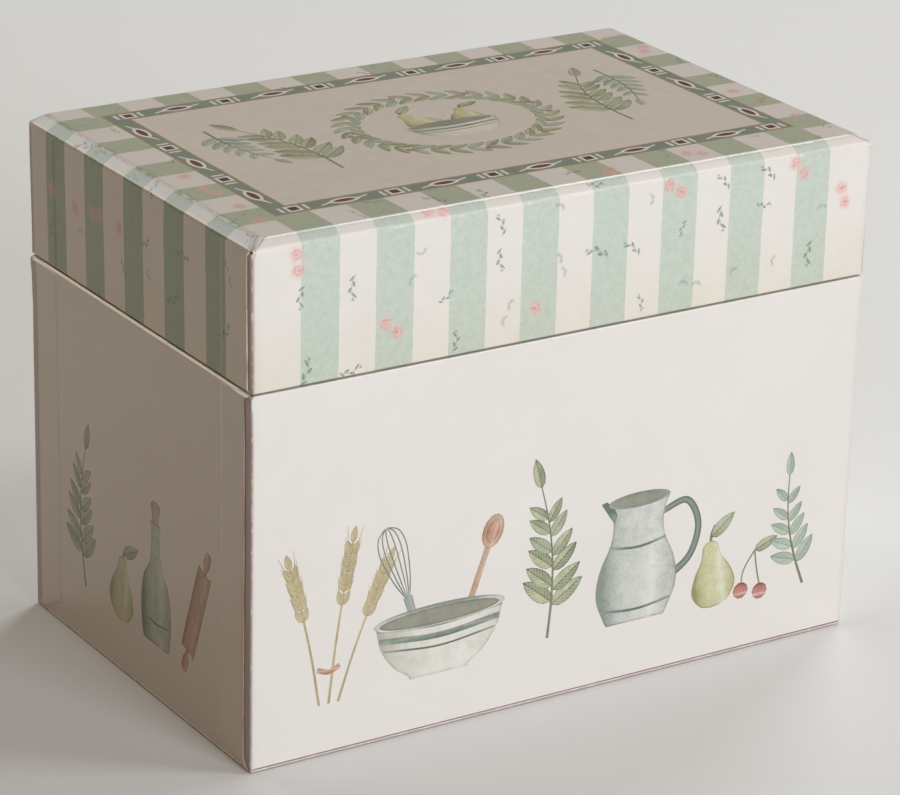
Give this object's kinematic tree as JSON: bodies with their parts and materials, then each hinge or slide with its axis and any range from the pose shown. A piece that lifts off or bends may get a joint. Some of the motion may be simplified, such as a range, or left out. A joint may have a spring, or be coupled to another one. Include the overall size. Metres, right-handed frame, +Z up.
{
  "type": "recipe card box",
  "caption": "Upright paper-covered board box with a hinged flip lid, inner neck and tabbed dividers for filed recipe cards.",
  "frame": {"origin": "centre of the underside, on the surface that the box stands on", "axes": "+X to the right seen from the front, along the width; +Y to the back, towards the lid's hinge; +Z up"},
  "size_m": [0.168, 0.108, 0.127],
  "materials": {
    "greyboard": "matt, fibrous, recycled grey",
    "stay_tape": "matt kraft",
    "base_print": "gloss laminate over a cream print",
    "lid_print": "gloss laminate over a striped print",
    "foot_paper": "matt uncoated",
    "lining_paper": "matt uncoated",
    "neck_card": "matt paper over card",
    "hinge_cloth": "fine woven book cloth",
    "divider_sage": "smooth card",
    "divider_straw": "smooth card",
    "divider_terracotta": "smooth card",
    "divider_moss": "smooth card",
    "divider_stone": "smooth card",
    "card_stock": "smooth index card"
  },
  "bodies": {
    "base": {"base_board": "greyboard", "base_corner_stays": "stay_tape", "base_wrap": "base_print", "bottom_paper": "foot_paper", "floor_lining": "lining_paper", "back_lining": "lining_paper", "neck_front": "neck_card", "neck_left": "neck_card", "neck_right": "neck_card", "hinge_base_leaf": "hinge_cloth"},
    "lid": {"lid_board": "greyboard", "lid_corner_stays": "stay_tape", "lid_wrap": "lid_print", "lid_lining": "lining_paper", "hinge_lid_leaf": "hinge_cloth"},
    "file_1": {"divider_1": "divider_sage", "cards_1": "card_stock"},
    "file_2": {"divider_2": "divider_straw", "cards_2": "card_stock"},
    "file_3": {"divider_3": "divider_terracotta", "cards_3": "card_stock"},
    "file_4": {"divider_4": "divider_moss", "cards_4": "card_stock"},
    "file_5": {"divider_5": "divider_stone", "cards_5": "card_stock"}
  },
  "joints": [
    {"name": "lid_hinge", "type": "hinge", "parent": "base", "child": "lid", "pos_m": [0, 0.054, 0.0918], "axis": [-1, 0, 0], "range_deg": [0, 175]},
    {"name": "file_1_tilt", "type": "hinge", "parent": "base", "child": "file_1", "pos_m": [0, 0.02616, 0.0034], "axis": [1, 0, 0], "range_deg": [0, 42]},
    {"name": "file_2_tilt", "type": "hinge", "parent": "base", "child": "file_2", "pos_m": [0, 0.03028, 0.0034], "axis": [1, 0, 0], "range_deg": [0, 36.12]},
    {"name": "file_3_tilt", "type": "hinge", "parent": "base", "child": "file_3", "pos_m": [0, 0.03439, 0.0034], "axis": [1, 0, 0], "range_deg": [0, 30.24]},
    {"name": "file_4_tilt", "type": "hinge", "parent": "base", "child": "file_4", "pos_m": [0, 0.0385, 0.0034], "axis": [1, 0, 0], "range_deg": [0, 24.36]},
    {"name": "file_5_tilt", "type": "hinge", "parent": "base", "child": "file_5", "pos_m": [0, 0.04262, 0.0034], "axis": [1, 0, 0], "range_deg": [0, 18.48]}
  ],
  "couplings": [
    {"joint": "file_2_tilt", "follows": "file_1_tilt", "ratio": 0.86},
    {"joint": "file_3_tilt", "follows": "file_1_tilt", "ratio": 0.72},
    {"joint": "file_4_tilt", "follows": "file_1_tilt", "ratio": 0.58},
    {"joint": "file_5_tilt", "follows": "file_1_tilt", "ratio": 0.44}
  ]
}
